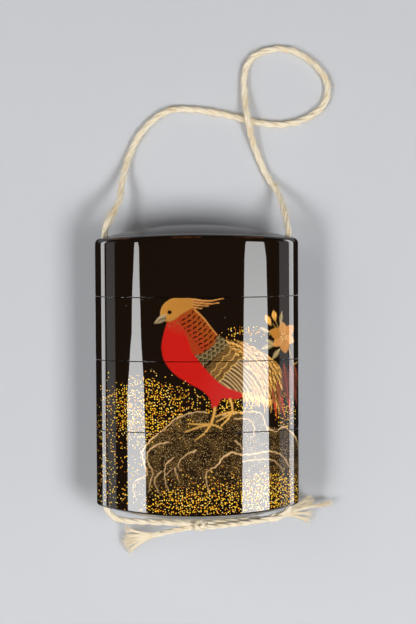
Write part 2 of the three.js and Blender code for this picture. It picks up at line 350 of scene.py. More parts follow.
def cotton():
    """Undyed cotton, softly spun: matt and warm white, with fine fibres that follow each ply's twist.

    The fibres' noise is in the plies' own millimetres, and the faint blotches are about 4 mm wide.
    """
    made, tree = material("twisted_cotton")
    along = node(tree, "Attribute", out="Vector", attribute_name="strand")
    fibre = node(tree, "TexNoise", {"Vector": along, "Scale": 1.0, "Detail": 3.0, "Roughness": 0.65}, "Fac")
    blotch = {"Vector": node(tree, "TexCoord", out="Object"), "Scale": 260.0, "Detail": 2.0}
    tone = node(tree, "Math", {0: fibre, 1: node(tree, "TexNoise", blotch, "Fac")}, 0, operation="ADD")
    tint = node(tree, "ValToRGB", {"Fac": node(tree, "Math", {0: tone, 1: 0.5}, 0, operation="MULTIPLY")})
    shaded, clean = tint.color_ramp.elements
    shaded.position, shaded.color = 0.3, linear("E9CFA0")
    clean.position, clean.color = 0.52, linear("FFF2D8")
    bump = node(tree, "Bump", {"Height": fibre, "Strength": 0.6, "Distance": 0.12 * MM}, "Normal")
    look = {"Base Color": tint.outputs["Color"], "Roughness": 0.95, "Specular IOR Level": 0.15}
    shader = node(tree, "BsdfPrincipled", look | {"Sheen Weight": 0.25, "Normal": bump}, "BSDF")
    node(tree, "OutputMaterial", {"Surface": shader})
    return made


def plies(path, run, pitch, offset, radius, sides, up=(0.0, 0.0, 1.0)):
    """Three plies twisted round a path, and each vertex's place on its ply, for the fibre pattern.

    A ply's middle circles the path once a pitch. Its thickness swells and thins a little along the way.
    """
    level, square = across(path, up)
    turn = 2 * math.pi * (run / pitch + np.arange(3)[:, None] / 3)
    middles = path + offset * (np.cos(turn)[..., None] * level + np.sin(turn)[..., None] * square)
    swell = 1 + 0.05 * np.sin(run / 2.3 + np.arange(3)[:, None] * 2.1) + 0.04 * np.sin(run / 0.9 + turn)
    grids = tubes(middles, radius * swell, sides, up)
    around = np.linspace(0, 2 * math.pi, sides, endpoint=False)
    lean = around - run[:, None] * 1.1
    place = np.stack([run[:, None] * 0.9 + 0 * lean, np.cos(lean) * 2.2, np.sin(lean) * 2.2], axis=-1)
    place = place[None] + np.arange(3)[:, None, None, None] * 17.0
    return grids, place


def twine(name, parts, node_name=None):
    """A piece of yarn from its parts, each of them grids and their places on the ply, set in the frame."""
    made = skin(name, np.concatenate([grids for grids, _ in parts]))
    place = np.concatenate([place for _, place in parts])
    caps = np.concatenate([place[:, 0].mean(1), place[:, -1].mean(1)])
    attribute(made, "strand", np.concatenate([place.reshape(-1, 3), caps]))
    made.data.materials.append(yarn)
    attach(made, "root")
    if node_name:
        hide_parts(node_name)
    return made


yarn = cotton()
RING_STEP = 0.35  # between rings of points along a ply
string_path, string_run = smooth_path(STRING_ROUTE, RING_STEP)
string = twine("string", [plies(string_path, string_run, PLY_PITCH, PLY_OFFSET, PLY_RADIUS, 14)], "cord")

# ------------------------------------------------------------------------------------------ loose fibres
# Cotton spun this softly is hairy: short fibres stand out all along it. The two ends are tied in one
# small knot under the base, and the tails past it come apart into flat tufts.

FIBRE_UP = (0.31, 0.17, 0.93)  # a direction that no fibre runs along
FIBRE_RINGS = 15
FIBRE_RADIUS = 0.1  # several real fibres, lying together
HAIR_RADIUS = 0.04
TAIL_RINGS = 60
CLUMP_FIBRES = 75
CLUMP_REACH = 0.74  # from the middle of a clump to its outermost fibres
chance = np.random.default_rng(11)


def bezier(controls, count):
    """Points along cubic Bezier curves, given their four controls each: (curves, 4, 3)."""
    t = np.linspace(0, 1, count)[:, None]
    a, b, c, d = (controls[:, None, i] for i in range(4))
    return (1 - t) ** 3 * a + 3 * (1 - t) ** 2 * t * b + 3 * (1 - t) * t**2 * c + t**3 * d


def fibre_tubes(paths, radius, sides):
    """Thin tapering tubes along fibres, and a place on the yarn's pattern for their points."""
    t = np.linspace(0, 1, paths.shape[1])
    grids = tubes(paths, radius * (1 - 0.6 * t) + 0 * paths[..., 0], sides, FIBRE_UP)
    start = chance.uniform(0, 60, (len(paths), 1, 1, 3))
    place = start + t[None, :, None, None] * np.array([6.0, 0.4, 0.2]) + np.zeros((1, 1, sides, 3))
    return grids, place


def fuzz(path, count, reach, radius):
    """Count short fibres that leave the string's surface sideways and curl along it, as far as reach.

    Each is a Bezier curve that starts outwards and bends along the string, one way or the other.
    """
    index = chance.integers(4, len(path) - 5, count)
    way = path[index + 4] - path[index - 4]
    way /= np.linalg.norm(way, axis=1, keepdims=True)
    out = chance.normal(size=(count, 3))
    out -= (out * way).sum(1, keepdims=True) * way
    out /= np.linalg.norm(out, axis=1, keepdims=True)
    length = reach * chance.uniform(0.4, 1.0, (count, 1))
    side = np.where(chance.random((count, 1)) < 0.5, -1, 1)
    curl = chance.normal(0, 0.35, (count, 3)) * length
    root = path[index] + out * STRING_DIAMETER * 0.4
    controls = np.stack(
        [
            root,
            root + (0.25 * out + 0.4 * side * way) * length,
            root + (0.7 * out + 0.8 * side * way) * length + curl,
            root + (0.75 * out + 1.3 * side * way) * length + 1.6 * curl,
        ],
        axis=1,
    )
    paths = bezier(controls, 7)
    paths[..., 2] = np.maximum(paths[..., 2], 0.06)
    return fibre_tubes(paths, radius, 3)


on_floor = string_path[string_path[:, 1] > 43]
under_base = string_path[string_path[:, 1] < -42]
left_exit = on_floor[(on_floor[:, 0] < -18) & (on_floor[:, 1] < 48)]
hairs = twine(
    "string_hairs",
    [
        fuzz(on_floor, 1100, 1.6, HAIR_RADIUS),
        fuzz(under_base, 260, 1.2, HAIR_RADIUS),
        fuzz(left_exit, 44, 1.8, 1.625 * HAIR_RADIUS),  # rubbed rough where it leaves the lid
    ],
)

# The knot's turns go round the two strands as a torus knot: x = 1.15 sin 3t, and a radius of
# 1.15 + 0.28 cos 3t at an angle of 2t. A short straight core fills it.
KNOT_CENTRE = np.array([0.4, -45.95, 10.9])
knot_turn = np.linspace(0, 2 * math.pi, 150)
knot_wrap = 1.15 + 0.28 * np.cos(3 * knot_turn)
knot_round = [knot_wrap * np.cos(2 * knot_turn), knot_wrap * np.sin(2 * knot_turn)]
knot_path = KNOT_CENTRE + np.stack([1.15 * np.sin(3 * knot_turn), *knot_round], axis=1)
knot_run = np.concatenate([[0], np.cumsum(np.linalg.norm(np.diff(knot_path, axis=0), axis=1))])
core_path = np.linspace([-2.6, -45.25, 10.4], [3.3, -45.35, 10.4], len(knot_path))
core_run = np.linspace(0, 5.9, len(knot_path))
knot = twine(
    "overhand_knot",
    [
        plies(knot_path, knot_run, 16.0, 0.28, 0.33, 10, (1.0, 0.0, 0.0)),
        plies(core_path, core_run, 9.0, 0.4, 0.42, 10),
    ],
    "knot",
)


def tuft(tips, end, way):
    """Fibres from a tail's end to flat pointed clumps: each follows its clump's curve at its own offset.

    The offset turns round the clump's middle, draws in half way along, and spreads again at the tip.
    """
    all_paths = []
    for tip in np.array(tips, float):
        reach = np.linalg.norm(tip - end)
        lean = (tip - end) / reach
        middle = bezier(np.array([[end, end + way * reach * 0.4, tip - lean * reach * 0.3, tip]]), 40)[0]
        level, square = across(middle)
        t = np.linspace(0, 1, FIBRE_RINGS) * chance.uniform(0.78, 1.0, (CLUMP_FIBRES, 1))
        turn = chance.uniform(0, 2 * math.pi, (CLUMP_FIBRES, 1)) + 2.4 * t
        drawn_in = 0.5 * np.sin(math.pi * np.clip(t, 0, 1)) ** 0.7
        spread = 1 - drawn_in + 1.3 * np.clip((t - 0.7) / 0.3, 0, 1) ** 2
        away = CLUMP_REACH * np.sqrt(chance.random((CLUMP_FIBRES, 1))) * spread
        away = away * (1 + 0.25 * np.sin(9 * t + 7 * turn[:, :1]))
        index = t * (len(middle) - 1)
        curves = (middle, level, square)
        at = [[np.interp(index, np.arange(len(part)), part[:, i]) for i in range(3)] for part in curves]
        centre, level, square = np.moveaxis(np.array(at), 1, -1)
        offset = np.cos(turn)[..., None] * level + 0.6 * np.sin(turn)[..., None] * square
        paths = centre + away[..., None] * offset
        paths[..., 2] = np.maximum(paths[..., 2], FIBRE_RADIUS)
        all_paths.append(paths)
    return fibre_tubes(np.concatenate(all_paths), FIBRE_RADIUS, 5)


def frayed_tail(name, node_name, tail, tips):
    """A tail of the string from the knot, and the tufts that it comes apart into."""
    path, run = smooth_path(tail, RING_STEP)
    share, stops = np.linspace(0, 1, len(path)), np.linspace(0, 1, TAIL_RINGS)
    path = np.stack([np.interp(stops, share, path[:, i]) for i in range(3)], axis=1)
    run = np.linspace(0, run[-1], TAIL_RINGS)
    way = path[-1] - path[-4]
    taper = np.interp(run, [0, run[-1] * 0.75, run[-1]], [1, 1, 0.75])
    strand = plies(path, run, 10.0, 0.42, 0.42 * taper, 10)
    made = twine(name, [strand], node_name)
    return made, twine(name + "_tufts", [tuft(tips, path[-2], way / np.linalg.norm(way))])


LEFT_TAIL = [(-0.6, -46.3, 10), (-2.6, -46.7, 9.9), (-5.5, -47.3, 8.8), (-8.5, -48.2, 7.3)]
LEFT_TAIL += [(-11.4, -49.1, 6)]
LEFT_TIPS = [(-22.4, -47.9, 3.2), (-22.6, -50.2, 2.4), (-23.2, -52, 1.6), (-22.8, -53.6, 1.2)]
LEFT_TIPS += [(-21.8, -55.4, 0.8)]
RIGHT_TAIL = [(1.4, -46.2, 10.6), (3.6, -46.2, 11.4), (9, -45.6, 12), (14.5, -44.9, 12.2)]
RIGHT_TAIL += [(19, -44.2, 12.2), (22, -43.4, 11.2)]
RIGHT_TIPS = [(34.4, -38.2, 4.6), (35.6, -39.6, 4), (40.8, -40.4, 2.6), (35, -43.6, 1.8), (34.2, -45.9, 1.2)]
left_tail = frayed_tail("tail_left", "frayed_end_left", LEFT_TAIL, LEFT_TIPS)
right_tail = frayed_tail("tail_right", "frayed_end_right", RIGHT_TAIL, RIGHT_TIPS)

# ------------------------------------------------------------------------------------------ the four sections
# Each section is a shell of thin wood and cloth under many coats of lacquer. Three are cases with a
# lining that stands up into the section above, the fourth is the lid, and all have a bore at either
# side for the string. The wall is thick at the sides, for the bores, and thin at the front and back.

HALF_WIDTH = 30.0
HALF_DEPTH = 12.0
WALL = np.array([HALF_WIDTH, HALF_DEPTH])
FLAT_DEPTH = MIDDLE_Z  # the back is levelled here, so that the case lies still
LINING = (24.2, 10.4)  # half sizes of the lining's outside, of the room inside it, and of the recess over it
ROOM = (23.1, 9.3)
RECESS = (24.5, 10.7)
LINING_HEIGHT = 6.0
FLOOR = 1.5
DOME_WALL = 2.0
SEAM = 0.2  # what shows of the joint between two sections
TOP_DOME = (4.5, 3.4)  # rise over the rim at the side ends, and fall from the crown to the front
BASE_DOME = (5.0, 2.8)
FACET = 0.04  # the solids' faceted domes end this much short of their crowns
LID_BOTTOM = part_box("lid")[0].y / MM
UPPER_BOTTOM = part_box("upper_case")[0].y / MM
MIDDLE_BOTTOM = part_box("middle_case")[0].y / MM
TOP_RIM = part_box("lid")[1].y / MM - TOP_DOME[0] + FACET
BASE_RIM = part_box("lower_case")[0].y / MM + BASE_DOME[0] - FACET
PICTURE_STEP = 0.22  # between points on the decorated front, and on the back
BACK_STEP = 0.42
FRONT_REACH = 38.0  # how far round from the middle of the front the closer points go
DOME_EDGE = 1.2  # radii of the rounded edges: the lid's shoulder, the base's rim, the joints, the lining
BASE_EDGE = 0.4
WALL_EDGE = 0.035
LINING_EDGE = 0.3
CHANNEL_RADIUS = 1.5


def ring_turns(front_step, back_step, front_reach):
    """Angles round the ellipse, evenly spaced by arc length on the front, and wider on the back.

    Arc length is summed over a fine division of the ellipse and read back at even steps.
    """
    fine = np.linspace(-math.pi, math.pi, 20001)
    run = wall_length(fine)
    half = run[-1]
    front = np.linspace(-front_reach, front_reach, 2 * int(front_reach / front_step))
    back = np.linspace(front_reach, 2 * half - front_reach, int(2 * (half - front_reach) / back_step))[1:-1]
    stops = np.concatenate([front, np.where(back > half, back - 2 * half, back)])
    return np.interp(stops, run, fine)


def wall_length(turn):
    """Length round the wall from the middle of the front to a turn, from a summed table.

    The wall is x = 30 sin(turn), z = 12 cos(turn).
    """
    fine = np.linspace(-math.pi, math.pi, 20001)
    piece = np.hypot(HALF_WIDTH * np.cos(fine), HALF_DEPTH * np.sin(fine))
    run = np.concatenate([[0], np.cumsum((piece[1:] + piece[:-1]) / 2 * np.diff(fine))])
    return np.interp(turn, fine, run - run[-1] / 2)


RING_TURNS = ring_turns(PICTURE_STEP, BACK_STEP, FRONT_REACH)
LEAD = 0.03  # between a rounded edge and the rings that lead into it and out of it
CLOSE = 0.05  # between an inner corner and the rings beside it


def edge(half_sizes, level, radius, turn_from, turn_to, bulge=0.0, steps=5):
    """Rings over a rounded edge: each is half_sizes + radius cos(turn), level + radius sin(turn).

    One more ring leads straight into it, and one out of it, so that the flats beside it shade flat.
    """
    turn = np.radians(np.linspace(turn_from, turn_to, steps))
    lead = LEAD * np.sign(turn_to - turn_from) * np.array([-1, *[0] * steps, 1])
    turn = np.concatenate([turn[:1], turn, turn[-1:]])
    reach = radius * np.cos(turn) - lead * np.sin(turn)
    rise = level + radius * np.sin(turn) + lead * np.cos(turn)
    return np.stack([half_sizes[0] + reach, half_sizes[1] + reach, rise, 0 * reach + bulge], axis=1)


def corner(half_sizes, level):
    """Rings over an inner corner: down to the level, then outwards."""
    wide, deep = half_sizes
    return np.array(
        [[wide, deep, level + CLOSE, 0], [wide, deep, level, 0], [wide + CLOSE, deep + CLOSE, level, 0]]
    )


def disc(half_sizes, level, bulge=0.0, inward=False):
    """Rings of a floor, a ceiling or a dome, from near its middle out to its rim, or back in."""
    share = np.linspace(0.02, 1, int(half_sizes[0] / 1.2))[:: -1 if inward else 1, None]
    return np.hstack([share * half_sizes, 0 * share + level, 0 * share + bulge])


def profile(parts, steps):
    """All the rings of a shell: the parts in order, and between each two of them rings a step apart."""
    rows = [parts[0]]
    for part, step in zip(parts[1:], steps):
        start, end = rows[-1][-1], part[0]
        count = max(1, int(round(np.abs(end - start)[:3].max() / step)))
        share = np.linspace(0, 1, count + 1)[1:-1, None]
        rows.extend([start + share * (end - start), part])
    return np.vstack(rows)


def rings(rows, dome):
    """Points of each ring: an ellipse, levelled at the back, lifted by its bulge times the dome.

    The dome is rise (1 - (x / 30)^2) - fall (z / 12)^2.
    """
    width, depth, level, bulge = (column[:, None] for column in rows.T)
    x = width * np.sin(RING_TURNS)
    z = np.maximum(depth * np.cos(RING_TURNS), -FLAT_DEPTH)
    shape = dome[0] * (1 - (x / HALF_WIDTH) ** 2) - dome[1] * (z / HALF_DEPTH) ** 2
    return np.stack([x, level + bulge * shape, MIDDLE_Z + z], axis=-1)


def bored(name, rows, dome):
    """A section from its rings, with a bore for the string cut through it at either side."""
    made = skin(name, rings(rows, dome)[None])
    turn = np.linspace(0, 2 * math.pi, 49)[:-1]
    ring = np.stack([np.cos(turn), 0 * turn, np.sin(turn)], axis=1) * CHANNEL_RADIUS
    bores = np.array([[ring + [side * CHANNEL_X, y, MIDDLE_Z] for y in (60, -60)] for side in (-1, 1)])
    cutter = skin("bores", bores)
    cut = made.modifiers.new("bores", "BOOLEAN")
    cut.solver, cut.object = "MANIFOLD", cutter
    bpy.context.view_layer.objects.active = made
    bpy.ops.object.modifier_apply(modifier=cut.name)
    bpy.data.objects.remove(cutter)
    made.data.shade_smooth()
    return made


def lined(floor, top):
    """Rings from a floor up inside the lining, over it and down outside it, and out to the wall's top."""
    crest = top + LINING_HEIGHT - LINING_EDGE
    return [
        floor,
        edge(np.array(ROOM) + LINING_EDGE, crest, LINING_EDGE, 180, 90),
        edge(np.array(LINING) - LINING_EDGE, crest, LINING_EDGE, 90, 0),
        corner(LINING, top),
        edge(WALL - WALL_EDGE, top - WALL_EDGE, WALL_EDGE, 90, 0),
    ]


def case_rows(bottom, top):
    """The rings of a case: from its floor over the lining, down the wall, and up into the recess."""
    ceiling = bottom + LINING_HEIGHT + SEAM
    parts = lined(disc(ROOM, ceiling + FLOOR), top) + [
        edge(WALL - WALL_EDGE, bottom + WALL_EDGE, WALL_EDGE, 0, -90),
        edge(np.array(RECESS) + WALL_EDGE, bottom + WALL_EDGE, WALL_EDGE, -90, -180, steps=3),
        disc(RECESS, ceiling, inward=True),
    ]
    return profile(parts, [1.5, 1.0, 1.5, 1.0, PICTURE_STEP, 1.0, 1.5])[::-1]


def base_rows(top):
    """The rings of the lowest case, whose wall turns into the domed base over a soft edge."""
    foot = WALL - BASE_EDGE
    parts = lined(disc(ROOM, BASE_RIM + DOME_WALL, -1.0), top) + [
        edge(foot, BASE_RIM + BASE_EDGE, BASE_EDGE, 0, -90, -1.0, 8),
        disc(foot, BASE_RIM, -1.0, inward=True),
    ]
    return profile(parts, [1.5, 1.0, 1.5, 1.0, PICTURE_STEP, 0.6])[::-1]


def lid_rows():
    """The rings of the lid: up under its crown, down the recess, up the wall and over the dome."""
    shoulder = WALL - DOME_EDGE
    parts = [
        disc(RECESS, TOP_RIM - DOME_WALL, 1.0),
        edge(np.array(RECESS) + WALL_EDGE, LID_BOTTOM + WALL_EDGE, WALL_EDGE, 180, 270, steps=3),
        edge(WALL - WALL_EDGE, LID_BOTTOM + WALL_EDGE, WALL_EDGE, -90, 0),
        edge(shoulder, TOP_RIM - DOME_EDGE, DOME_EDGE, 0, 90, 1.0, 12),
        disc(shoulder, TOP_RIM, 1.0, inward=True),
    ]
    return profile(parts, [1.5, 1.0, 0.5, 0.6])


sections = {
    "lid": bored("lid_shell", lid_rows(), TOP_DOME),
    "upper_case": bored("upper_case_shell", case_rows(UPPER_BOTTOM, LID_BOTTOM - SEAM), TOP_DOME),
    "middle_case": bored("middle_case_shell", case_rows(MIDDLE_BOTTOM, UPPER_BOTTOM - SEAM), TOP_DOME),
    "lower_case": bored("lower_case_shell", base_rows(MIDDLE_BOTTOM - SEAM), BASE_DOME),
}

# ------------------------------------------------------------------------------------------ the picture
# The front is decorated in sprinkled gold and coloured lacquer under the clear coat: a crested bird on a
# veined rock, a flowering spray, and loose flakes of gold leaf. It is drawn on the wall rolled out flat,
# in millimetres: u or across is the length round from the middle of the front, v or up the height.

BARE = "1B110A"
HALF_ROUND = 68.7  # length round the wall from the middle of the front to the middle of the back
ON_WALL = 0.985  # share of the ellipse's radius past which a point is on the wall


def wall_places(shell):
    """Where each point of a shell is on the wall rolled out flat, and its share of the ellipse's radius."""
    points = np.empty(3 * len(shell.data.vertices), np.float32)
    shell.data.vertices.foreach_get("co", points)
    x, y, z = points.reshape(-1, 3).astype(float).T / MM
    turn = np.arctan2(x / HALF_WIDTH, (z - MIDDLE_Z) / HALF_DEPTH)
    return np.stack([wall_length(turn), y], axis=1), np.hypot(x / HALF_WIDTH, (z - MIDDLE_Z) / HALF_DEPTH)


def ramp(value, start, end):
    """0 before start, 1 after end, and smooth between them."""
    share = np.clip((value - start) / (end - start), 0, 1)
    return share * share * (3 - 2 * share)


def close_to(place, path, reach):
    """Which places lie in the box round a path, with some reach to spare."""
    return np.all((place > path.min(0) - reach) & (place < path.max(0) + reach), axis=1)


def area(place, border, soft=0.11):
    """How far each place is inside a closed smooth border, 0 to 1 over a soft edge.

    The distance is to the nearest side of the border. A place is inside when a level line from it
    crosses an odd number of sides.
    """
    start = smooth_path([(*point, 0) for point in (*border, border[0])], 0.45)[0][:, :2]
    side = np.roll(start, -1, 0) - start
    keep = np.linalg.norm(side, axis=1) > 1e-6
    start, side = start[keep], side[keep]
    covered = np.zeros(len(place))
    near = close_to(place, start, 1)
    spot = place[near][:, None]
    offset = spot - start
    share = np.clip((offset * side).sum(-1) / (side**2).sum(-1), 0, 1)
    distance = np.linalg.norm(offset - share[..., None] * side, axis=-1).min(1)
    above = start[:, 1] > spot[..., 1]
    crosses = above != (start[:, 1] + side[:, 1] > spot[..., 1])
    level = np.where(side[:, 1] == 0, 1, side[:, 1])
    crosses &= spot[..., 0] < start[:, 0] + side[:, 0] * (spot[..., 1] - start[:, 1]) / level
    inside = crosses.sum(1) % 2 == 1
    covered[near] = ramp(np.where(inside, distance, -distance), -soft, soft)
    return covered


def stroke(place, points, width_from, width_to, soft=0.1):
    """How much each place is under a brush stroke along a smooth line, whose width tapers evenly.

    That is how far inside half the width the nearest point of the line is, over a soft edge.
    """
    line = smooth_path([(*point, 0) for point in points], 0.4)[0][:, :2]
    start, side = line[:-1], np.diff(line, axis=0)
    covered = np.zeros(len(place))
    near = close_to(place, line, max(width_from, width_to))
    offset = place[near][:, None] - start
    share = np.clip((offset * side).sum(-1) / (side**2).sum(-1), 0, 1)
    along = (np.arange(len(start)) + share) / len(start)
    distance = np.linalg.norm(offset - share[..., None] * side, axis=-1)
    distance -= (width_from + along * (width_to - width_from)) / 2
    covered[near] = ramp(-distance.min(1), -soft, soft)
    return covered


def leaf(place, base, tip, width, fullness=1.0):
    """A leaf or petal from base to tip, as wide at each share t of its length as width sin(pi t^fullness)."""
    base, tip = np.array(base, float), np.array(tip, float)
    t = np.linspace(0, 1, 9)
    half = width / 2 * np.sin(math.pi * t**fullness)
    spine = base + t[:, None] * (tip - base)
    square = np.array([base[1] - tip[1], tip[0] - base[0]]) / np.linalg.norm(tip - base)
    border = np.concatenate([spine + half[:, None] * square, (spine - half[:, None] * square)[-2:0:-1]])
    return area(place, border)


def lay(paint, cover, colour, metal=0.0):
    """Lays a colour over what is there. It hides the flakes and the dust under it."""
    tone = np.array([*linear(colour)[:3], metal, 0, 0])
    paint += cover[:, None] * (tone - paint)


def patch(place, centre, radii, amount):
    """A soft-edged oval patch: amount at its middle, none past its rim."""
    away = np.hypot((place[:, 0] - centre[0]) / radii[0], (place[:, 1] - centre[1]) / radii[1])
    return amount * ramp(-away, -1, -0.45)


def sprinkle(paint, place):
    """Gold flakes: dense left of the bird and along the foot, thinner at the sides, few elsewhere."""
    across, up = place.T
    density = patch(place, (-14, -10.5), (16.5, 13), 0.66)
    for centre, radii, amount in [
        ((-25, -22), (11, 26), 0.2),
        ((-22, -8), (9, 8), 0.4),
        ((13, 12), (10, 3.2), 0.3),
        ((12, -9), (8, 4.5), 0.55),
        ((27, -11), (5, 8), 0.5),
        ((-3, -9.5), (11, 8), 0.42),
        ((22, -36), (14, 11), 0.8),
        ((6, -29), (17, 5), 0.22),
        ((-52, -36), (30, 9), 0.5),
        ((50, -36), (34, 9), 0.6),
        ((44, 10), (12, 5), 0.2),
        ((62, -8), (16, 7), 0.25),
        ((-62, -8), (14, 7), 0.25),
    ]:
        density = np.maximum(density, patch(place, centre, radii, amount))
    along_foot = patch(place, (5, -41.5), (32, 13), 0.72) * ramp(across, -18, -13.4)
    density = np.maximum(density, along_foot)
    side = np.minimum(np.abs(across), HALF_ROUND - np.abs(across)) / 31  # 1 at the side edge
    foot = BASE_RIM - (BASE_DOME[0] - BASE_DOME[1]) * (1 - side**2)
    density *= ramp(up, foot + 0.2, foot + 0.8)
    paint[:, 4] = density


def rock(paint, place):
    """The rock: gold dust on black, thick on the lit brow and thin lower down, with outlined ridges."""
    front = [
        (-18.4, -44), (-19.2, -33), (-15, -29), (-15.6, -26.6), (-16.6, -22), (-13.5, -18.6), (-9.4, -15.3),
        (-6.2, -12.5), (0.4, -10.5), (7, -11.4), (13.5, -11), (18.6, -11.3), (20.6, -14.8), (24, -15.8),
        (28, -16.6), (32, -20), (36, -27), (37, -44),
    ]
    back = [(44, -44), (47, -30), (53, -25), (60, -24), (66, -27), (68.6, -31), (68.6, -44)]
    dark = np.array([*linear("1F160E")[:3], 0.0])
    brow = ramp(place[:, 1], -37, -24) * (0.72 + 0.28 * np.sin(place[:, 0] * 0.7 + place[:, 1] * 0.45))
    brow *= 0.5 + 0.5 * ramp(-place[:, 0] + 0.5 * place[:, 1], -20, 6)
    for border, strength in ((front, 1.0), (back, 0.7)):
        cover = area(place, border)
        cleared = cover * ramp(place[:, 1], -38, -32)
        paint[:, :4] += cleared[:, None] * (dark - paint[:, :4])
        dust = cleared * strength * (0.22 + 0.78 * brow)
        paint[:, 5] = np.maximum(paint[:, 5], dust)
        paint[:, 4] *= 1 - cover * ramp(place[:, 1], -32, -27) * 0.85
    veins = [
        (0.3, 0.5, [
            (-18.2, -36.5), (-19.2, -32.8), (-18.4, -31), (-14.9, -28.9), (-15.5, -26.6), (-16.6, -22.4)
        ]),
        (0.42, 0.3, [
            (-16.6, -22.4), (-13.7, -18.8), (-9.3, -15.2), (-6.1, -12.4), (0.5, -10.4), (3.2, -10.8)
        ]),
        (0.42, 0.3, [
            (-8.4, -19.3), (-12.2, -20.3), (-14.7, -22.6), (-14.6, -25.4), (-13.2, -28.2), (-14, -31.4)
        ]),
        (0.34, 0.15, [(-14, -31.4), (-14.4, -34.2)]),
        (0.5, 0.2, [(-0.4, -21.8), (-3.2, -23), (-5.6, -25.8), (-5, -27.8)]),
        (0.36, 0.26, [(-6.8, -23.8), (-9.3, -26.1), (-9.4, -31), (-8.5, -33.6)]),
        (0.2, 0.3, [(-7.4, -27), (-9.2, -29)]),
        (0.4, 0.24, [(-10.6, -27.9), (-12.7, -30.6), (-11.5, -34.2)]),
        (0.4, 0.15, [(-6.7, -27), (-5.2, -31.4)]),
        (0.55, 0.25, [(10, -22.4), (7.4, -24), (5.8, -26.2), (2.6, -28.3), (2.8, -32), (3.6, -34.6)]),
        (0.5, 0.25, [(10, -22.4), (13, -23.2), (17.5, -23), (22, -22.6), (26, -24.4), (28.2, -27.6)]),
        (0.4, 0.2, [(13.2, -25.2), (18, -24.8), (23, -25.4), (26.2, -28.6)]),
        (0.4, 0.15, [(11, -19), (12.6, -20.4), (13.6, -21.6)]),
        (0.38, 0.25, [(11, -12.6), (15.2, -13), (16.8, -15.4), (16.6, -18.2)]),
        (0.34, 0.3, [(7.4, -11.6), (13.5, -10.8), (18.7, -11.2), (20.2, -14.2), (21, -16.8)]),
        (0.42, 0.26, [
            (21, -15.8), (23.6, -16.8), (26, -15.6), (28.4, -16.8), (31.8, -19.8), (35.8, -27), (37, -36)
        ]),
        (0.4, 0.3, [(44, -38), (47, -30), (53, -25), (60, -24), (66, -27), (68.4, -30.6)]),
        (0.4, 0.15, [(52, -28), (54, -31.6), (53.2, -35)]),
        (0.4, 0.15, [(60, -27.6), (61.8, -31), (64.4, -33.4)]),
    ]
    u, v = place.T
    wobble = np.stack([np.sin(3.3 * v + np.sin(2.1 * u)), np.sin(2.9 * u + 1.7 * np.sin(2.6 * v))], axis=1)
    rough = place + 0.1 * wobble
    for width_from, width_to, points in veins:
        line = stroke(rough, points, 0.85 * width_from, 0.85 * width_to, 0.13)
        lay(paint, line * (0.72 + 0.28 * ramp(v, -33, -22)), "E6BC84", 0.4)


def line_at(phase, pitch, width, soft=0.1):
    """Even lines a pitch apart: how much a place is on one, by how far its phase is from a whole pitch."""
    away = np.abs(phase / pitch - np.round(phase / pitch)) * pitch
    return ramp(-(away - width / 2), -soft, soft)


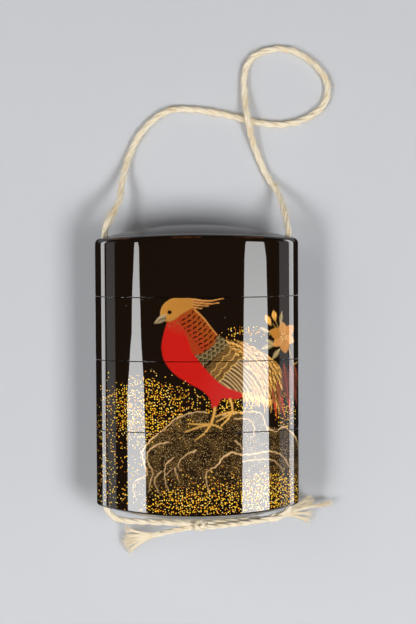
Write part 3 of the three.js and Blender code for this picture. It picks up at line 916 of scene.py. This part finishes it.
def bird(paint, place):
    """The bird, from the tail forward: each kind of plumage has its own ground colour and its own lines.

    along runs from the crown down the back, and across is square to it. Scales and bars sit in staggered
    rows on these two. Long feathers follow arc, the distance from a point by the feet.
    """
    u, v = place.T
    along = 0.64 * (u + 3) - 0.77 * (v - 18.5)
    across = 0.77 * (u + 3) + 0.64 * (v - 18.5)
    arc = np.hypot(u - 0.5, v + 12.6) + 0.12 * np.sin(u * 1.3 + v * 0.9)
    stipple = np.random.default_rng(5).random(len(place))

    # the tail: fine gold feathers that end in loose tips, and the red plumes behind them
    tail = [
        (8.4, 10.6), (13.6, 9.8), (18.1, 7.5), (21.4, 5.4), (24.4, 3), (26, -1), (25.6, -6), (24.4, -10.2),
        (22.6, -8.4), (20.8, -9.6), (19.2, -8), (17.4, -9), (16, -7.4), (14.4, -7.8), (13.6, -6), (10, -2),
        (7, 4), (7, 9),
    ]
    cover = area(place, tail)
    wave = 0.22 * np.sin(2.3 * u - 1.1 * v) + 0.1 * np.sin(5.1 * v)
    lay(paint, cover, "3C2810", 0.4)
    lay(paint, cover * line_at(arc + wave, 0.62, 0.24), "D99A45", 0.4)
    lay(paint, cover * line_at(arc - 0.6 * wave, 1.1, 0.26), "F3BE6C", 0.4)
    lay(paint, cover * line_at(arc + 0.06 * v + wave, 1.7, 0.24), "1C1108", 0.1)
    for i in range(22):
        start = np.array([13.2 + 0.55 * i, -5.2 - 0.16 * i + 0.7 * math.sin(2.7 * i)])
        end = start + [0.35 + 0.5 * math.sin(1.9 * i), -2.7 - 1.1 * math.sin(4.1 * i)]
        middle = (start + end) / 2 + [0.3, 0]
        lay(paint, stroke(place, [start, middle, end], 0.34, 0.1), "E9AE58", 0.4)

    for root, tip, width in [
        ((26.4, 3), (28.6, -11), 3.4),
        ((28.6, 2.4), (32, -9.6), 3.4),
        ((30.6, 2), (35.6, -7), 3.2),
        ((24.2, -2), (25.4, -11.6), 2.2),
        ((22.4, -4), (23.8, -12.6), 1.2),
    ]:
        vane = leaf(place, root, tip, width, 0.8)
        barbs = line_at(u * 0.6 + v + np.abs(u - root[0]), 0.62, 0.3)
        lay(paint, vane * 0.6, "4A2C20", 0.15)
        lay(paint, vane * barbs * (0.3 + 0.6 * (stipple < 0.5)), "8A4230", 0.15)
        lay(paint, stroke(place, [root, tip], 0.26, 0.12), "B03C2A", 0.1)
    for root, tip in (((25.6, -7), (26.6, -13.4)), ((23.4, -8.6), (23.9, -13)), ((28.4, -8), (29, -13.6))):
        lay(paint, stroke(place, [root, tip], 0.56, 0.1), "DC3A26", 0.05)

    # the breast: plain red lacquer, and a brown throat stippled over it
    breast = [
        (-8.7, 15.6), (-9.7, 12.2), (-10.3, 9.2), (-10.1, 6.3), (-9, 3.5), (-6.2, 0.3), (-2.2, -2.2),
        (1.5, -4.3), (3.7, -6.6), (4.6, -9.6), (5.9, -8.9), (7, -6.8), (10.2, -6.9), (13.1, -6.4),
        (12.6, -4.4), (8, -2.4), (4.6, 1.4), (1.4, 5), (-0.4, 9), (-2.6, 14), (-5, 17.4),
    ]
    cover = area(place, breast)
    lay(paint, cover, "CC1F17")
    lay(paint, cover * ramp(u - 0.35 * v, -1, 12) * 0.5, "CF3A36")
    throat = cover * ramp(v + 0.35 * u, 9.4, 14.2)
    lay(paint, throat * (stipple < 0.62), "A85028", 0.1)

    # the wing: quills below, three wavy bands over them, and a mantle of scales at the shoulder
    wing = [
        (4.9, 12.4), (7.4, 11.3), (8.9, 9.6), (9.9, 7.6), (12.9, 5), (15.3, 1.4), (16, -2.2), (14, -5),
        (11, -4.3), (7.7, -2.9), (5.2, -0.8), (2.4, 2.2), (0.2, 5), (-0.9, 6.8), (0.6, 9),
    ]
    cover = area(place, wing)
    lay(paint, cover, "2C1F12", 0.3)
    quills = cover * ramp(along, 19.6, 20.2)
    lay(paint, quills * line_at(arc, 0.98, 0.34), "D9B27A", 0.5)
    lay(paint, quills * line_at(arc + 0.49, 0.98, 0.1), "8C6C40", 0.4)
    lay(paint, cover * ramp(-area(place, wing, 0.5), -0.75, -0.4) * quills, "D8B985", 0.5)
    for start, end, ground, rim in (
        (18.2, 20.3, "6E4E26", "D2A45C"),
        (16.4, 18.6, "7C5A2E", "CF9F58"),
        (14.6, 16.7, "5C4324", "C99A50"),
    ):
        bow = along - 0.55 * np.abs(np.sin(across * 1.15)) - 0.02 * (across - 2) ** 2
        band = cover * ramp(bow, start - 0.1, start + 0.1) * ramp(-bow, -end, -end + 0.15)
        lay(paint, band, ground, 0.45)
        lay(paint, band * line_at(arc, 0.62, 0.2) * 0.8, "A87E42", 0.5)
        lay(paint, band * (stipple < 0.3) * 0.6, "2E2010", 0.2)
        lay(paint, cover * ramp(-np.abs(bow - end), -0.24, -0.08), rim, 0.55)
    row = np.floor(along / 1.1)
    spot = (across / 1.6 + 0.5 * np.mod(row, 2)) % 1 - 0.5
    tip = along - 1.1 * row - 1.05 + 0.72 * (2 * spot) ** 2
    mantle = cover * ramp(-(along - 0.25 * np.sin(across * 1.9)), -15.4, -15.1)
    lay(paint, mantle, "6C5A38", 0.4)
    lay(paint, mantle * ramp(tip, -0.1, 0.08) * 0.8, "221A0F", 0.1)
    lay(paint, mantle * ramp(-np.abs(tip + 0.3), -0.22, -0.06), "AE9566", 0.45)
    lay(paint, mantle * (stipple < 0.3) * 0.5, "2A2012", 0.1)

    # the nape: a red-brown ruff with staggered black bars
    nape = [
        (-1.4, 20), (0.4, 18.4), (2.2, 16.5), (4, 14.1), (5.8, 11.9), (5, 9.4), (3, 7.6), (0.6, 6.4),
        (-1, 6.6), (-2, 9), (-3.4, 13), (-5.2, 16), (-6.4, 18), (-4, 19.6),
    ]
    cover = area(place, nape, 0.3)
    lay(paint, cover, "A84E1C", 0.2)
    lay(paint, cover * ramp(-across, -1.2, 3.4) * 0.55, "C0301C", 0.05)
    lay(paint, cover * (stipple < 0.3) * ramp(-across, -3, 3) * 0.5, "6E2A14", 0.1)
    pitch, gap = 1.25, 1.85
    row = np.round((along + 0.05 * across**2) / pitch)
    rise = along + 0.05 * across**2 - pitch * row
    spot = ((across / gap + 0.5 * np.mod(row, 2)) % 1 - 0.5) * gap
    bars = ramp(-(np.abs(rise - 0.35 * spot**2 + 0.1) - 0.2), -0.1, 0.1) * ramp(-np.abs(spot), -0.78, -0.6)
    shown = area(place, nape, 0.2) * ramp(along, 0.4, 1) * ramp(across, -3.8, -3.2)
    lay(paint, bars * shown, "0C0806")
    lay(paint, stroke(place, [(-0.6, 19.4), (2.1, 16.7), (4, 14.2), (5.8, 12)], 0.5, 0.35), "D98F45", 0.45)

    # the head: the crest's plumes, then the crown, bill and eye
    head = [
        (-2.4, 22.8), (-4.6, 23), (-7.4, 22.5), (-9.6, 20.9), (-10.5, 18.8), (-10.3, 16.9), (-8.6, 15.9),
        (-6.6, 16.4), (-4.6, 17.9), (-2.8, 19), (-1.5, 19.8), (-0.9, 21), (-1.2, 22.2),
    ]
    for points, width in [
        ([(-3.2, 22.5), (-0.4, 22.2), (3.4, 21.8), (7.8, 22.5)], 0.8),
        ([(-2.8, 21.7), (0.6, 21.3), (3.6, 21), (6.5, 21.2)], 0.66),
        ([(-2.6, 21), (0, 20.6), (3.4, 20.3)], 0.62),
        ([(-2.4, 20.2), (-0.4, 19.9), (1.6, 19.6)], 0.56),
    ]:
        lay(paint, stroke(place, points, width, 0.14), "D8883C", 0.45)
        lay(paint, stroke(place, [(x, y + 0.16) for x, y in points], 0.2, 0.08), "F2B66C", 0.5)
    cover = area(place, head, 0.25)
    lay(paint, cover, "CB8A3A", 0.45)
    lay(paint, cover * ramp(-(v - 0.25 * u), -19.4, -16.6) * 0.5, "9A7C52", 0.3)
    lay(paint, cover * ramp(-(v - 0.4 * u), -20, -17.6) * (stipple < 0.3) * 0.8, "8A4A20", 0.2)
    rim = [(-10.4, 17), (-10.4, 18.8), (-9.5, 20.8), (-7.3, 22.3), (-4.6, 22.8), (-2.4, 22.6)]
    lay(paint, stroke(place, rim, 0.3, 0.2) * 0.7, "E2A456", 0.5)
    lay(paint, leaf(place, (-8.8, 17.6), (-12.6, 15.2), 2.0, 0.7), "A08B68", 0.4)
    lay(paint, stroke(place, [(-12.3, 15.4), (-10.6, 16.5), (-9, 16.8)], 0.1, 0.28), "1A120A")
    lay(paint, stroke(place, [(-12.2, 15.6), (-10.4, 17.3), (-9.2, 17.8)], 0.12, 0.22), "D6BE92", 0.5)
    lay(paint, stroke(place, [(-7.95, 18.6), (-7.85, 18.6)], 1.15, 1.15), "080606")

    # the legs and toes
    rough = place + 0.09 * np.stack([np.sin(7 * v), np.sin(7 * u)], axis=1)
    for points, width_from, width_to in [
        ([(5.2, -9.4), (4.8, -11.6), (4, -14.1)], 0.9, 0.75),
        ([(4, -14.1), (0.6, -14.1), (-2.6, -13.9)], 0.75, 0.4),
        ([(4, -14.1), (0.2, -15), (-3.6, -16.4)], 0.75, 0.4),
        ([(4, -14.1), (2.2, -16.6), (-0.4, -18.6)], 0.75, 0.4),
        ([(4, -14.1), (6, -14.8), (7.2, -15.6)], 0.65, 0.35),
        ([(9.6, -6.9), (10.2, -8.8), (10.3, -10.6)], 0.75, 0.65),
        ([(10.3, -10.6), (8, -11), (5.3, -11.9)], 0.65, 0.4),
        ([(10.3, -10.6), (9, -12.6), (6.9, -14.7)], 0.65, 0.4),
        ([(10.3, -10.6), (8.4, -11.9), (5.6, -13.4)], 0.6, 0.35),
        ([(10.3, -10.6), (12, -10.8), (13.4, -11.3)], 0.55, 0.3),
    ]:
        lay(paint, stroke(rough, points, width_from, width_to), "CE963F", 0.45)
        lay(paint, stroke(place, points, width_from / 3, width_to / 3) * 0.6, "F2CB7C", 0.5)


def blossom(paint, place, centre, size, turn):
    """A flower of six pointed petals round a small eye, each petal with thin veins."""
    centre = np.array(centre)
    for i in reversed(range(6)):
        lean = turn + i * math.pi / 3
        way = np.array([math.cos(lean), math.sin(lean)])
        tip = centre + size * (1 + 0.12 * (i % 2)) * way
        cover = leaf(place, centre, tip, size * (0.62 + 0.12 * (i % 2)), 1.15)
        lay(paint, cover, "B27630" if i % 2 else "C28744", 0.4)
        for bend in (-0.22, 0, 0.22):
            side = bend * np.array([-way[1], way[0]]) * size
            middle = centre + 0.5 * size * way + side
            vein = [centre + 0.12 * size * way, middle, tip - 0.2 * size * way + side * 0.6]
            lay(paint, stroke(place, vein, 0.12, 0.05) * 0.6, "8A5A22", 0.3)
    for i in range(6):
        lean = turn + (i + 0.5) * math.pi / 3
        dot = centre + 0.2 * size * np.array([math.cos(lean), math.sin(lean)])
        lay(paint, stroke(place, [dot, dot + 0.05], 0.3, 0.3), "F4D28A", 0.5)


def spray(paint, place):
    """The flowering spray at the right side, and a smaller one on the back: stems, leaves, buds, flowers."""
    stem = [
        ([(26.5, 10.5), (24.6, 12.6), (22.6, 15)], 0.35),
        ([(25.6, 11.8), (24.2, 14.4), (23.4, 16.4)], 0.3),
        ([(26.5, 10.5), (29.4, 5), (31.6, -1)], 0.4),
        ([(30.4, 2.6), (38, 4), (45, 3), (50, 5.4)], 0.4),
        ([(45, 3), (51, 0.6), (56, 2.4)], 0.3),
    ]
    for points, width in stem:
        lay(paint, stroke(place, points, width, 0.16), "A8813F", 0.45)
    for base, tip, width in [
        ((22, 12.3), (18.6, 13.9), 1.3),
        ((23.6, 9), (19, 7.6), 1.6),
        ((23.4, 8.4), (20.6, 10.4), 1.4),
        ((25, 7.4), (22.6, 4.6), 1.7),
        ((25.2, 14.6), (25.8, 18.4), 1.3),
        ((34, 3.6), (36.6, 7.4), 2.0),
        ((38, 4), (41.4, 0.6), 2.0),
        ((51, 0.8), (53, -2.6), 1.8),
    ]:
        lay(paint, leaf(place, base, tip, width), "83724C", 0.45)
        lay(paint, stroke(place, [base, tip], 0.2, 0.1), "D9C08C", 0.5)
    for base, tip, width in [
        ((22.3, 14.2), (20.3, 17.6), 1.7),
        ((23.6, 15.4), (22.9, 18.9), 1.6),
        ((56, 2.4), (59, 3.8), 1.6),
        ((50, 5.4), (52, 8.4), 1.6),
    ]:
        lay(paint, leaf(place, base, tip, width, 1.2), "DDA24A", 0.5)
        lay(paint, stroke(place, [base, tip], 0.12, 0.06), "7C5420", 0.3)
    blossom(paint, place, (26.4, 11), 4.5, 1.7)
    blossom(paint, place, (45.4, 4.2), 4.4, 0.5)


def worn_specks(paint, place):
    """A few pale specks of age in the bare lacquer over the bird."""
    for u, v in ((-16, 22.3), (-21, 20.4), (-0.6, 21.6), (8.2, 17), (-13.4, 2), (-8, 14.6)):
        lay(paint, stroke(place, [(u, v), (u + 0.12, v)], 0.2, 0.2, 0.16) * 0.7, "77726A")


decorated = [sections[name] for name in ("upper_case", "middle_case", "lower_case")]
places, radii = zip(*(wall_places(shell) for shell in decorated))
place, on_wall = np.concatenate(places), np.concatenate(radii) > ON_WALL
flat = place[on_wall]
work = np.zeros((len(flat), 6))  # red, green, blue, metal, flakes, dust
work[:, :3] = linear(BARE)[:3]
sprinkle(work, flat)
rock(work, flat)
spray(work, flat)
bird(work, flat)
worn_specks(work, flat)
paint = np.zeros((len(place), 6))
paint[:, :3] = linear(BARE)[:3]
paint[on_wall] = work
for shell, part, own in zip(decorated, np.split(paint, np.cumsum([len(p) for p in places])[:-1]), places):
    attribute(shell, "picture", part[:, :3])
    attribute(shell, "gilding", part[:, 3])
    attribute(shell, "flakes", part[:, 4])
    attribute(shell, "dust", part[:, 5])
    attribute(shell, "wall", np.column_stack([own, np.zeros(len(own))]))

# The lid is plain, with a faint brown line along its shoulder in places.
lid_place, lid_radii = wall_places(sections["lid"])
lid_paint = np.zeros((len(lid_place), 3)) + linear(BARE)[:3]
brown_shoulder_line = 0.5 * ramp(-np.abs(lid_radii - 0.97), -0.012, -0.004)
brown_shoulder_line *= ramp(lid_place[:, 1], TOP_RIM - 2, TOP_RIM - 1)
brown_shoulder_line *= np.clip(np.sin(0.31 * lid_place[:, 0] + 2.6) + 0.4 * np.sin(1.7 * lid_place[:, 0]), 0, 1)
lid_paint += brown_shoulder_line[:, None] * (linear("7A4422")[:3] - lid_paint)
attribute(sections["lid"], "picture", lid_paint)
attribute(sections["lid"], "wall", np.column_stack([lid_place, np.zeros(len(lid_place))]))


def lacquer():
    """Black lacquer with sprinkled gold and red under a clear coat polished to a mirror.

    The picture comes from the wall's attributes. Gold dust is noise with a grain of about 0.25 mm, and
    dots of up to 0.12 mm radius in cells of 0.31 mm. Flakes are dots of 0.13 to 0.22 mm radius, in cells
    of 0.66 and 0.84 mm. Both are a little coarser than the real powder, so that they show.
    """
    made, tree = material("polished_maki_e_lacquer")
    outputs = {"wall": "Vector", "picture": "Color", "gilding": "Fac", "flakes": "Fac", "dust": "Fac"}
    wall, picture, gilding, flakes, dust = (
        node(tree, "Attribute", out=out, attribute_name=name) for name, out in outputs.items()
    )
    noise = {"Vector": wall, "Scale": 4.1, "Detail": 4.0, "Roughness": 0.75}
    grain = node(tree, "TexNoise", noise, "Fac", noise_dimensions="2D")
    noise = {"Vector": wall, "Scale": 0.28, "Detail": 2.0}
    cloud = node(tree, "TexNoise", noise, "Fac", noise_dimensions="2D")

    powder = node(tree, "Math", {0: grain, 1: 1.3, 2: -0.65}, 0, operation="MULTIPLY_ADD")
    shade = node(tree, "Math", {0: gilding, 1: powder, 2: 1.0}, 0, operation="MULTIPLY_ADD")
    colour = node(tree, "VectorMath", {0: picture, 3: shade}, 0, operation="SCALE")
    speck = node(tree, "Math", {0: cloud, 1: 0.35, 2: grain}, 0, operation="MULTIPLY_ADD")
    reach = {"Value": speck, "From Min": 0.64, "From Max": 0.8, "To Max": 0.42}
    speck = node(tree, "MapRange", reach, 0, interpolation_type="SMOOTHSTEP")
    dusted = node(tree, "Math", {0: speck, 1: dust}, 0, operation="MULTIPLY")
    colour = node(tree, "Mix", {0: dusted, 6: colour, 7: linear("A97F42")}, 2, data_type="RGBA")
    metal = node(tree, "Math", {0: dusted, 1: 0.5}, 0, operation="MULTIPLY")
    metal = node(tree, "Math", {0: gilding, 1: metal}, 0, operation="MAXIMUM")

    dust = node(tree, "Math", {0: dust, 1: 0.6}, 0, operation="MULTIPLY")
    gold_leaf, gold_dust = ("FFCC38", "E4901C", "FFE488"), ("B8945A", "8A6A38", "D9BC84")
    for cell, shift, most, share, tones in (
        (0.31, 11.0, 0.12, dust, gold_dust),
        (0.66, 0.0, 0.22, flakes, gold_leaf),
        (0.84, 37.0, 0.21, flakes, gold_leaf),
    ):
        place = node(tree, "VectorMath", {0: wall, 1: (shift, shift, 0)}, 0, operation="ADD")
        dots = node(tree, "TexVoronoi", {"Vector": place, "Scale": 1 / cell}, voronoi_dimensions="2D")
        lot = node(tree, "SeparateColor", {0: dots.outputs["Color"]})
        size = {0: lot.outputs[1], 1: most * 0.4, 2: most * 0.6}
        radius = node(tree, "Math", size, 0, operation="MULTIPLY_ADD")
        away = node(tree, "Math", {0: dots.outputs["Distance"], 1: cell}, 0, operation="MULTIPLY")
        inside = node(tree, "Math", {0: away, 1: radius}, 0, operation="LESS_THAN")
        drawn = node(tree, "Math", {0: lot.outputs[0], 1: share}, 0, operation="LESS_THAN")
        shown = node(tree, "Math", {0: inside, 1: drawn}, 0, operation="MULTIPLY")
        tint = node(tree, "ValToRGB", {"Fac": lot.outputs[2]})
        steps = tint.color_ramp
        steps.interpolation = "CONSTANT"
        steps.elements[1].position = 0.6
        steps.elements.new(0.88)
        for step, tone in zip(steps.elements, tones):
            step.color = linear(tone)
        colour = node(tree, "Mix", {0: shown, 6: colour, 7: tint.outputs["Color"]}, 2, data_type="RGBA")
        leafed = node(tree, "Math", {0: shown, 1: 0.12}, 0, operation="MULTIPLY")
        metal = node(tree, "Math", {0: metal, 1: leafed}, 0, operation="MAXIMUM")

    look = {"Base Color": colour, "Metallic": metal, "Roughness": 0.5, "Specular IOR Level": 0.0}
    look |= {"Coat Weight": 1.0, "Coat Roughness": 0.02, "Coat IOR": 1.55}
    node(tree, "OutputMaterial", {"Surface": node(tree, "BsdfPrincipled", look, "BSDF")})
    return made


black_lacquer = lacquer()
for name, shell in sections.items():
    shell.data.materials.clear()
    shell.data.materials.append(black_lacquer)
    lacquered.objects.link(shell)
    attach(shell, "root")
    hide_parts(name)
